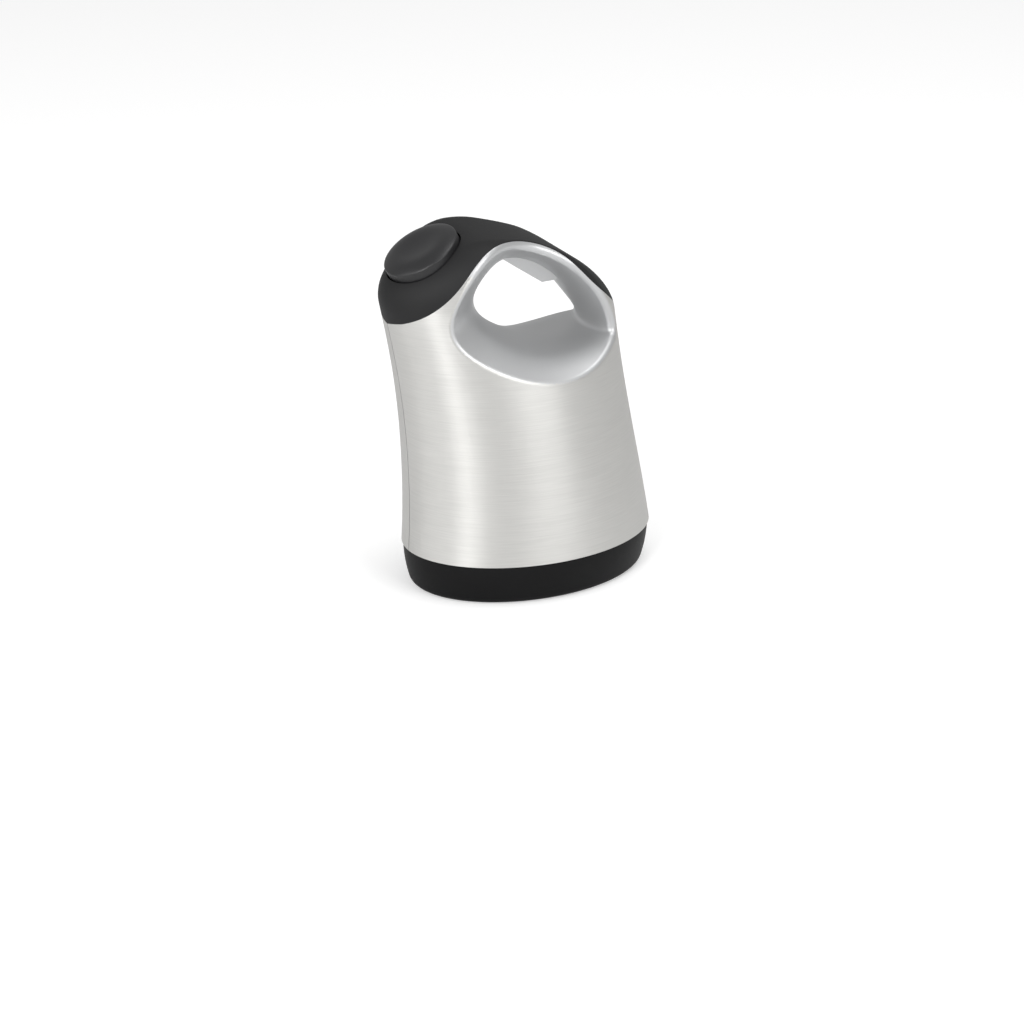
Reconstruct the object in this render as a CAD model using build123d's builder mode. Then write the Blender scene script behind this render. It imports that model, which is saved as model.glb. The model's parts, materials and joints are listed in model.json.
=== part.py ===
"""Cordless electric can opener: leaning oval housing, finger-hole handle, start button, drive and cutter.

Millimetres, +Z up. The origin is on the table under the middle of the base; -X is the button end,
-Y the front, and +Y the back, where the can's rim enters the mouth of the base.
"""
from build123d import *
import math
import os

# Overall sizes
BODY_HEIGHT = 120.0        # table to the top of the crown
SEAM_LENGTH = 86.0         # oval where base and housing meet, along X
SEAM_DEPTH = 62.0          # the same oval, along Y
BASE_HEIGHT = 14.0         # table to that seam
WALL = 2.2                 # moulded side walls of housing, cap and base
CAP_WALL = 1.5             # cap's wall under the crown
FAR = 200.0                # beyond every piece
PARTING = 0.3              # depth of the groove along the seam of the two shells
PARTING_HALF = 0.15        # half of its width

# Column of the housing
LEAN = 11.8                # shift of the head towards -X
LEAN_POWER = 1.3           # more than 1 leaves the foot upright and leans the head
WAIST = 4.3                # how far each end draws in at the waist
WAIST_TURN = math.radians(135.0)
TOP_TAPER = 9.5            # how far each side draws in at the crown
TAPER_POWER = 1.8
HEAD_DROP = 18.0           # middle of the head below the crown
COLUMN_STATIONS = (0.0, 0.29, 0.60, 0.85, 1.03, 1.30)
OVAL_START = 90.0          # each oval starts at the back, clear of the cut in the middle plane

# Crown over the head and the arch
CROWN_RADIUS = 64.0
CROWN_X = -25.2
CROWN_EDGE = 11.0          # rounding of the crown's long edges
CROWN_BLEND = 20.0         # rounding between the button's flat and the crown

# Finger hole: outline half way through, and the way each point flares out, from the hole's middle
HOLE_X = -2.0
HOLE_DROP = 24.0           # middle of the hole below the crown
HOLE_OUTLINE = (
    (21.5, -15.0), (7.0, -15.6), (-10.0, -9.2), (-19.0, 1.5),
    (-15.5, 11.0), (-6.5, 13.2), (8.0, 6.5), (17.5, -4.5),
)
HOLE_FLARE = (
    (0.60, 0.05), (0.02, -0.24), (-0.67, -0.23), (-1.19, -0.28),
    (-0.80, 0.26), (-0.44, 1.10), (0.29, 0.44), (0.58, 0.17),
)
FLARE_REACH = 21.0         # length of a flare of 1, at FLARE_DEPTH from the middle plane
FLARE_DEPTH = 24.0
FLARE_POWER = 2.2
FLARE_STATIONS = (3.0, -6.0, -12.0, -18.0, -24.0, -31.0)
HOLE_LIP = 1.8             # rounding of the hole's rim

# The arch and the tail are moulded solid from here on
ARCH_X = -20.0
ARCH_DROP = 40.0

# Cap edge in the middle plane, an S from the nose up to the arch and down to the tail: X, and drop below
# the crown; the cut rises towards the sides
CAP_EDGE = (
    (-48.2, 26.9), (-41.6, 23.8), (-33.3, 16.1), (-27.8, 10.0), (-20.9, 5.8), (-13.0, 5.0),
    (-5.8, 6.3), (3.0, 10.5), (11.6, 19.1), (17.7, 25.2), (25.6, 30.9), (42.0, 40.0),
)
CAP_RISE = 0.25

# Start button and its switch
BUTTON_X = -37.1
BUTTON_DROP = 5.8          # middle of the button's flat below the crown
BUTTON_TILT = 29.0         # degrees from level, facing -X
BUTTON_RADIUS = 12.6
BUTTON_GAP = 0.5
BUTTON_RIM = 1.4           # rim above the flat
BUTTON_DOME = 2.6          # middle above the flat
BUTTON_SKIRT = 4.8         # skirt below the flat
BUTTON_SHELL = 2.0
BUTTON_TRAVEL = 1.2
BUTTON_CORNER = 0.8
BUTTON_UNDER = 0.5         # underside below the flat
TAB_TOP = 3.6
TAB_LOW = 4.8
TAB_ANGLES = (-35.0, 0.0, 35.0)
TAB_REACH = 1.4
TAB_WIDTH = 5.0
STEM_END = 3.8
STEM_RADIUS = 1.8
PLUNGER_RADIUS = 1.5
PLUNGER_ROOT = 0.5         # plunger inside the switch
SWITCH_SIZE = 6.0
SWITCH_HEIGHT = 2.0
SWITCH_REST = 0.3          # plunger still out of the switch at full press
BOARD = 1.0
BOARD_LENGTH = 16.0
BOARD_WIDTH = 20.0
BOARD_SHIFT = -3.0        # board's middle down the slope from the button's axis
BOARD_SCREW = 0.8
BOARD_HEAD = 1.6
BOARD_SCREW_X = -8.0
BOARD_SCREW_Y = 9.0
SPRING_RADIUS = 5.4
SPRING_WIRE = 0.35
SPRING_TURNS = 5.0
LEDGE = 2.0                # thickness of the ledges that carry the board
LEDGE_INNER = 8.0
LEDGE_LOW = -10.5
LEDGE_HIGH = -5.0

# Base, with the mouth for the can's rim at the back
BASE_REVEAL = 0.5          # base's step in from the housing at the seam
BASE_TAPER = 2.4           # how far each side draws in at the table
BASE_ROUND = 3.0
BASE_FLOOR = 2.5
LIP_HEIGHT = 2.0
LIP = 1.4
LIP_GAP = 0.5
LIP_ROOT = 3.0             # lip's root below the seam
MOUTH_HEIGHT = 9.5
MOUTH_HALF = 30.0          # half width of the mouth at the back
MOUTH_FRONT = 1.0          # front edge of the rim's path
BAY_LEFT = -24.0           # bay of the cutter arm, in front of the rim's path
BAY_RIGHT = 12.0
BAY_FRONT = -19.0
MOUTH_ROUND = 3.0
DECK = 2.0                 # floor over the mouth, under the gears

# Gear train: teeth and modules from the motor to the drive wheel
PRESSURE_ANGLE = math.radians(25.0)
ADDENDUM = 0.8
DEDENDUM = 1.05
BACKLASH = 0.10
FLANK_STEPS = 4
PINION_TEETH = 10
FIRST_TEETH = 40
SECOND_TEETH = 44
DRIVE_TEETH = 38
FIRST_MODULE = 0.5
SECOND_MODULE = 0.6
DRIVE_MODULE = 0.7
GEAR_FACE = 2.6
GEAR_LIFT = 1.5            # lower gears above the deck
GEAR_GAP = 0.5             # between the two layers of gears, and under the plate
RUN_GAP = 0.05             # radial running fit
THRUST_GAP = 0.3           # end gap of a turning piece
ARBOR_RADIUS = 1.5
SECOND_ANGLE = math.radians(235.0)
FIRST_ANGLE = math.radians(290.0)
MOTOR_ANGLE = math.radians(15.0)
PLATE = 1.2
PLATE_RIM = 4.0
POSTS = ((-26.5, 9.0), (-21.0, -17.0), (23.5, -13.0), (21.0, 10.0))
POST_RADIUS = 3.0
PLATE_SCREW = 6.0
SCREW_RADIUS = 1.2
HEAD_RADIUS = 2.0
HEAD_HEIGHT = 0.9
HEAD_GAP = 0.2
SLOT_WIDTH = 0.5           # cross slot of a screw head
SLOT_DEPTH = 0.5
SLOT_RIM = 0.7             # head left round its slot

# Drive and cutter
DRIVE_Y = 12.5
DRIVE_SHAFT = 2.5
DRIVE_THREAD = 1.6
NUT = 1.4
NUT_RADIUS = 3.2
DRIVE_RADIUS = 7.0
DRIVE_NOTCHES = 28
DRIVE_NOTCH = 0.8
DRIVE_LOW = 4.8
DRIVE_FACE = 4.0
BUSH_WALL = 1.5
BUSH_STAND = 0.5           # upper bush above the plate
CUTTER_RADIUS = 8.5
CUTTER_FACE = 1.8
CUTTER_EDGE = 0.3
CUTTER_BEVEL = 2.2
CUTTER_LOW = 3.4
CUTTER_OPEN = 5.3          # gap between drive wheel and cutter with the arm open
CUTTER_AXLE = 2.0
ARM_PIVOT = (-17.0, -6.0)
ARM_LOW = 5.8
ARM = 2.4
ARM_END = 5.2
ARM_HEAD = 1.2
AXLE_HEAD = 0.7
ARM_SHAFT = 2.5
FRICTION_RADIUS = 5.0
FRICTION_GAP = 0.3
GUIDES = ((-22.0, 11.5), (22.0, 11.5))
GUIDE_RADIUS = 2.0
GUIDE_LOW = 3.0
MAGNET_PLACE = (-14.0, 17.5)
MAGNET_RADIUS = 5.0
MAGNET_FACE = 5.2
MAGNET_CUP = 0.9

# Motor
MOTOR_RADIUS = 12.0
MOTOR_FLATS = 18.4
MOTOR_LENGTH = 31.0
MOTOR_SHAFT = 1.0
MOTOR_BOSS = 3.1
MOTOR_SCREWS = 8.0         # each motor screw from the motor's axis
MOTOR_SCREW_DEPTH = 3.5
MOTOR_CAP = 5.0
MOTOR_CAP_HEIGHT = 1.6
MOTOR_BEARING = 6.0

# Battery tray, four cells in a row, and the door behind them
CELL_RADIUS = 7.1
CELL_LENGTH = 49.5
CELL_SPACE = 0.3           # between two cells
CELL_COUNT = 4
NUB_RADIUS = 2.7
NUB = 1.2
PACK_X = -5.3
PACK_Y = 9.0
TRAY = 1.0
TRAY_FEET = 1.2
TRAY_FOOT = 2.0
TRAY_FEET_PLACES = ((-8.0, -5.0), (-8.0, 5.0), (14.0, -5.0), (14.0, 5.0))  # from the pack's middle
CONTACT = 0.5              # contact strip at a cell's nub
CONTACT_SPRING = 1.4       # squeezed contact spring at the other end
CONTACT_WIRE = 0.18
CONTACT_RADIUS = 3.5
CONTACT_TURNS = 2.0
CELL_GAP = 0.4
DOOR_SIDE = 0.5            # door past the row of cells at each end
DOOR_SILL = 2.4            # door's low edge above the tray's
DOOR_HEAD = 5.0            # door's high edge below the tray's
DOOR_GAP = 0.3
DOOR_CORNER = 4.0
SCOOP_RADIUS = 16.0        # thumb scoop near the door's high edge
SCOOP_DEPTH = 1.1
SCOOP_DROP = 9.5

# Housing screws, along Y from the back, as X and height
HOUSING_SCREWS = (
    (4.7 - SEAM_LENGTH / 2, 30.0), (SEAM_LENGTH / 2 - 11.0, 30.0),
    (1.5 - SEAM_LENGTH / 2, BODY_HEIGHT - 36.0), (SEAM_LENGTH / 2 - 13.5, 55.0),
)
BOSS_RADIUS = 3.2
BOSS_REACH = 8.0           # screw's reach each side of the middle plane
BASE_SCREWS = ((12.0 - SEAM_LENGTH / 2, -8.0), (SEAM_LENGTH / 2 - 12.0, -8.0))
BASE_BOSS = 3.5
BASE_RECESS = 3.0          # seat of the base screws' heads above the table
BASE_BOSS_TOP = 24.0
BASE_RIB = 3.0

# Finger rest under the arch, its outline as X and drop below the crown
REST_WIDTH = 9.0
REST_OUTLINE = ((-13.0, 9.0), (-6.0, 14.0), (3.0, 20.2), (7.5, 20.2), (12.0, 18.8), (12.0, 9.0))

HEAD_Z = BODY_HEIGHT - HEAD_DROP
CROWN_Z = BODY_HEIGHT - CROWN_RADIUS
DECK_TOP = MOUTH_HEIGHT + DECK
LOWER_GEARS = DECK_TOP + GEAR_LIFT
UPPER_GEARS = LOWER_GEARS + GEAR_FACE + GEAR_GAP
PLATE_LOW = UPPER_GEARS + GEAR_FACE + GEAR_GAP
PLATE_TOP = PLATE_LOW + PLATE
SWITCH_TOP = STEM_END + BUTTON_TRAVEL + SWITCH_REST
BOARD_TOP = SWITCH_TOP + SWITCH_HEIGHT
CELL_PITCH = 2 * CELL_RADIUS + CELL_SPACE
TRAY_LOW = PLATE_TOP + TRAY_FEET
TRAY_INSIDE = CELL_LENGTH + CONTACT + CONTACT_SPRING
TRAY_TOP = TRAY_LOW + TRAY_INSIDE + 2 * TRAY
DOOR_LOW = TRAY_LOW + DOOR_SILL
DOOR_HIGH = TRAY_TOP - DOOR_HEAD
DOOR_HALF = CELL_COUNT * CELL_PITCH / 2 + DOOR_SIDE
LIP_INSET = WALL + LIP_GAP
DRIVE_TOP = PLATE_TOP + BUSH_STAND
FRICTION_LOW = DECK_TOP + THRUST_GAP


def height_share(z):
    """Height above the seam, as a share of the way to the middle of the head."""
    return max(z - BASE_HEIGHT, 0.0) / (HEAD_Z - BASE_HEIGHT)


def centre_x(z):
    return -LEAN * height_share(z) ** LEAN_POWER


def half_length(z):
    return SEAM_LENGTH / 2 - WAIST * math.sin(min(height_share(z), 1.0) * WAIST_TURN)


def half_depth(z):
    share = max(z - BASE_HEIGHT, 0.0) / (BODY_HEIGHT - BASE_HEIGHT)
    return SEAM_DEPTH / 2 - TOP_TAPER * share ** TAPER_POWER


def button_plane():
    """Flat of the button: local Z points out of the head, local X up along the slope."""
    tilt = math.radians(BUTTON_TILT)
    return Plane(
        origin=(BUTTON_X, 0, BODY_HEIGHT - BUTTON_DROP),
        x_dir=(math.cos(tilt), 0, math.sin(tilt)),
        z_dir=(-math.sin(tilt), 0, math.cos(tilt)),
    )


def seat_point(along, out):
    """Point of the middle plane, as X and Z, from steps along the button's flat and out of it."""
    point = seat.from_local_coords((along, 0, out))
    return (point.X, point.Z)


def crown_point(radius, angle):
    return (CROWN_X + radius * math.cos(angle), CROWN_Z + radius * math.sin(angle))


def housing_form(inset, crown_inset):
    """Outer form of the housing, drawn in by inset and crown_inset: leaning oval under the crown."""
    slope = (seat.x_dir.X, seat.x_dir.Z)
    start = seat_point(0, -crown_inset)
    radius = CROWN_RADIUS - crown_inset
    along = (start[0] - CROWN_X) * slope[0] + (start[1] - CROWN_Z) * slope[1]
    off = (start[0] - CROWN_X) ** 2 + (start[1] - CROWN_Z) ** 2 - radius ** 2
    run = -along + math.sqrt(along ** 2 - off)
    ridge = seat_point(run, -crown_inset)
    ridge_angle = math.atan2(ridge[1] - CROWN_Z, ridge[0] - CROWN_X)
    nose = seat_point(-FAR / 2, -crown_inset)
    tail = crown_point(radius, 0.0)
    with BuildPart() as form:
        for share in COLUMN_STATIONS:
            z = BASE_HEIGHT + share * (HEAD_Z - BASE_HEIGHT)
            with BuildSketch(Plane(origin=(centre_x(z), 0, z))):
                with BuildLine():
                    EllipticalCenterArc((0, 0), half_length(z) - inset, half_depth(z) - inset,
                                        start_angle=OVAL_START, arc_size=360)
                make_face()
        loft()
        with BuildSketch(Plane.XZ) as under_crown:
            with BuildLine():
                Line(nose, ridge)
                ThreePointArc(ridge, crown_point(radius, ridge_angle / 2), tail)
                Polyline(tail, (FAR, tail[1]), (FAR, -FAR), (nose[0], -FAR), nose)
            make_face()
            fillet(under_crown.vertices().sort_by_distance((ridge[0], ridge[1], 0))[0], CROWN_BLEND)
        extrude(amount=FAR, both=True, mode=Mode.INTERSECT)
        crown_edges = form.edges().filter_by(GeomType.LINE, reverse=True).filter_by(
            lambda edge: edge.bounding_box().max.Z > HEAD_Z and edge.center().Z > HEAD_Z - HEAD_DROP
        )
        fillet(crown_edges, CROWN_EDGE - inset)
    return form.part


def hole_outline(y, grow):
    """Points of the finger hole's outline at a depth, as X and height, grown by grow on every side."""
    reach = FLARE_REACH * (abs(y) / FLARE_DEPTH) ** FLARE_POWER
    points = []
    for (x, z), (out_x, out_z) in zip(HOLE_OUTLINE, HOLE_FLARE):
        size = math.hypot(x, z)
        points.append((
            HOLE_X + x + out_x * reach + grow * x / size,
            BODY_HEIGHT - HOLE_DROP + z + out_z * reach + grow * z / size,
        ))
    return points


def finger_hole(grow):
    """Flared hole through the handle, grown by grow on every side."""
    with BuildPart() as hole:
        for y in FLARE_STATIONS:
            with BuildSketch(Plane.XZ.offset(-y)):
                with BuildLine():
                    Spline(*hole_outline(y, grow), periodic=True)
                make_face()
        loft()
    return hole.part


def cap_zone():
    """Front half of the space above the cap's lower edge."""
    edge = [(x, BODY_HEIGHT - drop) for x, drop in CAP_EDGE]
    with BuildPart() as zone:
        with BuildSketch(Plane.XZ):
            with BuildLine():
                Spline(*edge)
                Polyline(edge[-1], (FAR, edge[-1][1]), (FAR, FAR), (-FAR, FAR), (-FAR, edge[0][1]), edge[0])
            make_face()
        extrude(amount=FAR, dir=(0, -1, CAP_RISE))
    return zone.part


def upright(x, y):
    """Plane at table height whose Z is a vertical axis."""
    return Plane(origin=(x, y, 0))


def lengthwise(x, z):
    """Plane across the housing's seam whose Z runs from the front to the rear."""
    return Plane(origin=(x, 0, z), x_dir=(1, 0, 0), z_dir=(0, 1, 0))


def board_screw_axis(side):
    return Plane(seat * Location((BOARD_SCREW_X, side * BOARD_SCREW_Y, 0)))


def turned(axis, *steps):
    """Round piece on a plane's Z: each step gives a radius and the heights where it starts and ends."""
    with BuildPart() as piece:
        for radius, low, high in steps:
            with BuildSketch(axis.offset(low)):
                Circle(radius)
            extrude(amount=high - low)
    return piece.part


def cross_slot(axis, low, head):
    """Cross slot for a screw head, from a height on a plane's Z."""
    with BuildPart() as slot:
        with BuildSketch(axis.offset(low)):
            Rectangle(2 * (head - SLOT_RIM), SLOT_WIDTH)
            Rectangle(SLOT_WIDTH, 2 * (head - SLOT_RIM))
        extrude(amount=SLOT_DEPTH)
    return slot.part


def coil(axis, radius, wire, low, high, turns):
    """Coil spring between two heights on a plane's Z."""
    height = high - low - 2 * wire
    with BuildPart() as spring:
        with BuildLine() as path:
            Helix(height / turns, height, radius, center=axis.offset(low + wire).origin,
                  direction=axis.z_dir)
        with BuildSketch(Plane(origin=path.line @ 0, z_dir=path.line % 0)):
            Circle(wire)
        sweep()
    return spring.part


def gear(axis, teeth, module, phase, low, high):
    """Involute spur gear between two heights, with the middle of a tooth at the angle phase."""
    base = module * teeth / 2 * math.cos(PRESSURE_ANGLE)
    tip = module * (teeth / 2 + ADDENDUM)
    root = module * (teeth / 2 - DEDENDUM)
    pitch_half = (math.pi / 2 - BACKLASH / module) / teeth + math.tan(PRESSURE_ANGLE) - PRESSURE_ANGLE
    flank = [(root, pitch_half)] if root < base else []
    start = max(root, base)
    for step in range(FLANK_STEPS + 1):
        radius = start + (tip - start) * step / FLANK_STEPS
        pressure = math.acos(min(base / radius, 1.0))
        flank.append((radius, pitch_half - math.tan(pressure) + pressure))
    points = []
    for tooth in range(teeth):
        middle = phase + 2 * math.pi * tooth / teeth
        points += [(radius, middle - half) for radius, half in flank]
        points += [(radius, middle + half) for radius, half in reversed(flank)]
    corners = [(radius * math.cos(angle), radius * math.sin(angle)) for radius, angle in points]
    with BuildPart() as wheel:
        with BuildSketch(axis.offset(low)):
            with BuildLine():
                Polyline(*corners, close=True)
            make_face()
        extrude(amount=high - low)
    return wheel.part


def meshed(phase, teeth, direction, next_teeth):
    """Phase of the next gear, so that its tooth fits between two teeth in that direction."""
    passed = (direction - phase) * teeth / (2 * math.pi)
    return direction + math.pi - 2 * math.pi / next_teeth * (0.5 - passed)


def centre_distance(module, teeth):
    return module * (PINION_TEETH + teeth) / 2


def base_form(inset, low):
    """Oval of the base, drawn in towards the table, between the height low and the seam."""
    with BuildPart() as form:
        for z in (low, (low + BASE_HEIGHT) / 2, BASE_HEIGHT):
            draw_in = inset + BASE_REVEAL + BASE_TAPER * (1 - z / BASE_HEIGHT) ** 2
            with BuildSketch(Plane.XY.offset(z)):
                Ellipse(SEAM_LENGTH / 2 - draw_in, SEAM_DEPTH / 2 - draw_in)
        loft()
    return form.part


def mouth_form(grow, low, high):
    """Path of the can's rim and the bay of the cutter in front of it, grown by grow."""
    with BuildPart() as form:
        with BuildSketch(Plane.XY.offset(low)) as plan:
            with Locations((0, MOUTH_FRONT - grow)):
                Rectangle(2 * (MOUTH_HALF + grow), FAR, align=(Align.CENTER, Align.MIN))
            with Locations((BAY_LEFT - grow, BAY_FRONT - grow)):
                Rectangle(BAY_RIGHT - BAY_LEFT + 2 * grow, MOUTH_FRONT - BAY_FRONT + grow,
                          align=(Align.MIN, Align.MIN))
            near = plan.vertices().filter_by(lambda corner: corner.Y < FAR / 2)
            fillet(near, MOUTH_ROUND)
        extrude(amount=high - low)
    return form.part


def door_window(gap):
    """Prism through the rear wall for the battery door, drawn in by gap."""
    with BuildPart() as window:
        with BuildSketch(Plane.XZ):
            with Locations((PACK_X, (DOOR_LOW + DOOR_HIGH) / 2)):
                RectangleRounded(2 * (DOOR_HALF - gap), DOOR_HIGH - DOOR_LOW - 2 * gap, DOOR_CORNER - gap)
        extrude(amount=-FAR)
    return window.part


def motor_screw_pair():
    """Flat-headed screws up through the plate into the motor."""
    with BuildPart() as pair:
        for side in (-1, 1):
            axis = upright(motor_axis.origin.X + side * MOTOR_SCREWS, motor_axis.origin.Y)
            add(turned(axis, (HEAD_RADIUS, PLATE_LOW, PLATE_LOW + PLATE / 2),
                       (BOARD_SCREW, PLATE_LOW + PLATE / 2, PLATE_TOP + MOTOR_SCREW_DEPTH)))
    return pair.part


def front_half(form):
    """Half of a form in front of the middle plane."""
    with BuildPart() as half:
        add(form)
        split(bisect_by=Plane.XZ, keep=Keep.TOP)
    return half.part


seat = button_plane()
second_reach = centre_distance(DRIVE_MODULE, DRIVE_TEETH)
first_reach = centre_distance(SECOND_MODULE, SECOND_TEETH)
motor_reach = centre_distance(FIRST_MODULE, FIRST_TEETH)
drive_axis = upright(0, DRIVE_Y)
second_axis = upright(second_reach * math.cos(SECOND_ANGLE), DRIVE_Y + second_reach * math.sin(SECOND_ANGLE))
first_axis = upright(second_axis.origin.X + first_reach * math.cos(FIRST_ANGLE),
                     second_axis.origin.Y + first_reach * math.sin(FIRST_ANGLE))
motor_axis = upright(first_axis.origin.X + motor_reach * math.cos(MOTOR_ANGLE),
                     first_axis.origin.Y + motor_reach * math.sin(MOTOR_ANGLE))
drive_phase = 0.0
second_small_phase = meshed(drive_phase, DRIVE_TEETH, SECOND_ANGLE, PINION_TEETH)
second_phase = second_small_phase
first_small_phase = meshed(second_phase, SECOND_TEETH, FIRST_ANGLE, PINION_TEETH)
first_phase = first_small_phase
motor_phase = meshed(first_phase, FIRST_TEETH, MOTOR_ANGLE, PINION_TEETH)
cutter_place = (0, DRIVE_Y - DRIVE_RADIUS - CUTTER_OPEN - CUTTER_RADIUS)
cell_places = [PACK_X + (cell - (CELL_COUNT - 1) / 2) * CELL_PITCH for cell in range(CELL_COUNT)]
tray_wall = CELL_COUNT * CELL_PITCH - 2 * CELL_RADIUS
cell_ends = [1 if cell % 2 == 0 else -1 for cell in range(CELL_COUNT)]

outer_front = front_half(housing_form(0, 0))
inner_front = front_half(housing_form(WALL, CAP_WALL))
hole_form = finger_hole(0)
hole_wall = finger_hole(WALL)
cap_form = cap_zone()

with BuildPart() as hollow:
    add(inner_front)
    add(hole_wall, mode=Mode.SUBTRACT)
    with Locations((ARCH_X, 0, BODY_HEIGHT - ARCH_DROP)):
        Box(FAR, FAR, FAR, align=(Align.MIN, Align.CENTER, Align.MIN), mode=Mode.SUBTRACT)

with BuildPart() as holed_front:
    add(outer_front)
    add(hole_form, mode=Mode.SUBTRACT)
    bore_y = FLARE_STATIONS[1]
    bore_x, bore_z = hole_outline(bore_y, 0)[0]
    bore = holed_front.faces().sort_by_distance((bore_x, bore_y, bore_z))[0]
    fillet(bore.edges().filter_by(lambda edge: max((edge @ 0).Y, (edge @ 1).Y) < -WALL), HOLE_LIP)

with BuildPart() as screw_towers:
    with BuildSketch(Plane.XZ):
        with Locations(*HOUSING_SCREWS):
            Circle(BOSS_RADIUS)
    extrude(amount=FAR)
    add(holed_front.part, mode=Mode.INTERSECT)

with BuildPart() as base_towers:
    for x, y in BASE_SCREWS:
        add(turned(upright(x, y), (BASE_BOSS, BASE_HEIGHT, BASE_BOSS_TOP)))
        with Locations((x, y, BASE_HEIGHT + LIP_HEIGHT + LIP_GAP)):
            side = Align.MIN if x > 0 else Align.MAX
            Box(FAR, BASE_RIB, BASE_BOSS_TOP - BASE_HEIGHT - LIP_HEIGHT - LIP_GAP,
                align=(side, Align.CENTER, Align.MIN))
    add(outer_front, mode=Mode.INTERSECT)

with BuildPart() as parting_groove:
    Box(2 * FAR, 2 * PARTING_HALF, 2 * FAR)
    add(housing_form(PARTING, PARTING), mode=Mode.SUBTRACT)

with BuildPart() as shell_half:
    add(holed_front.part)
    add(cap_form, mode=Mode.SUBTRACT)
    add(hollow.part, mode=Mode.SUBTRACT)
    add(screw_towers.part)
    add(parting_groove.part, mode=Mode.SUBTRACT)

# Housing and cap
with BuildPart() as front_shell:
    add(shell_half.part)
    add(base_towers.part)
    for x, z in HOUSING_SCREWS:
        add(turned(lengthwise(x, z), (SCREW_RADIUS, -BOSS_REACH, 0)), mode=Mode.SUBTRACT)
    for x, y in BASE_SCREWS:
        add(turned(upright(x, y), (SCREW_RADIUS, BASE_HEIGHT, BASE_BOSS_TOP)), mode=Mode.SUBTRACT)

with BuildPart() as rear_shell:
    add(mirror(shell_half.part, about=Plane.XZ, mode=Mode.PRIVATE))
    add(door_window(0), mode=Mode.SUBTRACT)
    for x, z in HOUSING_SCREWS:
        add(turned(lengthwise(x, z), (SCREW_RADIUS, 0, BOSS_REACH),
                   (HEAD_RADIUS + HEAD_GAP, BOSS_REACH, FAR)), mode=Mode.SUBTRACT)

with BuildPart() as battery_door:
    add(mirror(outer_front, about=Plane.XZ, mode=Mode.PRIVATE))
    add(mirror(inner_front, about=Plane.XZ, mode=Mode.PRIVATE), mode=Mode.SUBTRACT)
    add(door_window(DOOR_GAP), mode=Mode.INTERSECT)
    scoop_z = DOOR_HIGH - SCOOP_DROP
    with Locations((PACK_X, half_depth(scoop_z) + SCOOP_RADIUS - SCOOP_DEPTH, scoop_z)):
        Sphere(SCOOP_RADIUS, mode=Mode.SUBTRACT)

with BuildPart() as housing_screws:
    for x, z in HOUSING_SCREWS:
        add(turned(lengthwise(x, z), (SCREW_RADIUS, -BOSS_REACH, BOSS_REACH),
                   (HEAD_RADIUS, BOSS_REACH, BOSS_REACH + HEAD_HEIGHT)))
        add(cross_slot(lengthwise(x, z), BOSS_REACH + HEAD_HEIGHT - SLOT_DEPTH, HEAD_RADIUS),
            mode=Mode.SUBTRACT)

with BuildPart() as cap_half:
    add(holed_front.part)
    add(cap_form, mode=Mode.INTERSECT)
    add(hollow.part, mode=Mode.SUBTRACT)

with BuildPart() as board_ledge:
    with Locations(seat * Location((LEDGE_LOW, -LEDGE_INNER, -BOARD_TOP - BOARD))):
        Box(LEDGE_HIGH - LEDGE_LOW, FAR, LEDGE, align=(Align.MIN, Align.MAX, Align.MAX))
    add(outer_front, mode=Mode.INTERSECT)
    add(cap_form, mode=Mode.INTERSECT)

with BuildPart() as top_cap:
    add(cap_half.part)
    add(board_ledge.part)
    mirror(about=Plane.XZ)
    add(turned(seat, (BUTTON_RADIUS + BUTTON_GAP, -BUTTON_SKIRT - BUTTON_TRAVEL - BUTTON_GAP, FAR)),
        mode=Mode.SUBTRACT)
    for side in (-1, 1):
        add(turned(board_screw_axis(side), (BOARD_SCREW, -BOARD_TOP - BOARD - LEDGE, -BOARD_TOP)),
            mode=Mode.SUBTRACT)

with BuildPart() as finger_rest:
    with BuildSketch(Plane.XZ):
        Polygon(*[(x, BODY_HEIGHT - drop) for x, drop in REST_OUTLINE], align=None)
    extrude(amount=REST_WIDTH / 2)
    add(hole_form, mode=Mode.INTERSECT)
    mirror(about=Plane.XZ)

# Start button and switch
with BuildPart() as start_button:
    with BuildSketch(Plane.XZ):
        with BuildLine():
            Line(seat_point(0, BUTTON_DOME), seat_point(0, -BUTTON_UNDER))
            Polyline(seat_point(0, -BUTTON_UNDER), seat_point(BUTTON_RADIUS - BUTTON_SHELL, -BUTTON_UNDER),
                     seat_point(BUTTON_RADIUS - BUTTON_SHELL, -BUTTON_SKIRT),
                     seat_point(BUTTON_RADIUS, -BUTTON_SKIRT), seat_point(BUTTON_RADIUS, BUTTON_RIM))
            Spline(seat_point(BUTTON_RADIUS, BUTTON_RIM), seat_point(BUTTON_RADIUS - BUTTON_CORNER,
                                                                     BUTTON_RIM + BUTTON_CORNER),
                   seat_point(0, BUTTON_DOME),
                   tangents=[(seat.z_dir.X, seat.z_dir.Z), (-seat.x_dir.X, -seat.x_dir.Z)])
        make_face()
    revolve(axis=Axis(seat.origin, seat.z_dir))
    add(turned(seat, (STEM_RADIUS, -STEM_END, -BUTTON_UNDER)))
    with BuildSketch(seat.offset(-TAB_LOW)):
        for angle in TAB_ANGLES:
            with Locations(Location((0, 0, 0), (0, 0, angle))):
                with Locations((BUTTON_RADIUS - BUTTON_SHELL / 2, 0)):
                    Rectangle(TAB_REACH + BUTTON_SHELL / 2, TAB_WIDTH, align=(Align.MIN, Align.CENTER))
    extrude(amount=TAB_LOW - TAB_TOP)

with BuildPart() as switch_plunger:
    add(turned(seat, (PLUNGER_RADIUS, -SWITCH_TOP - PLUNGER_ROOT, -STEM_END)))

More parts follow.
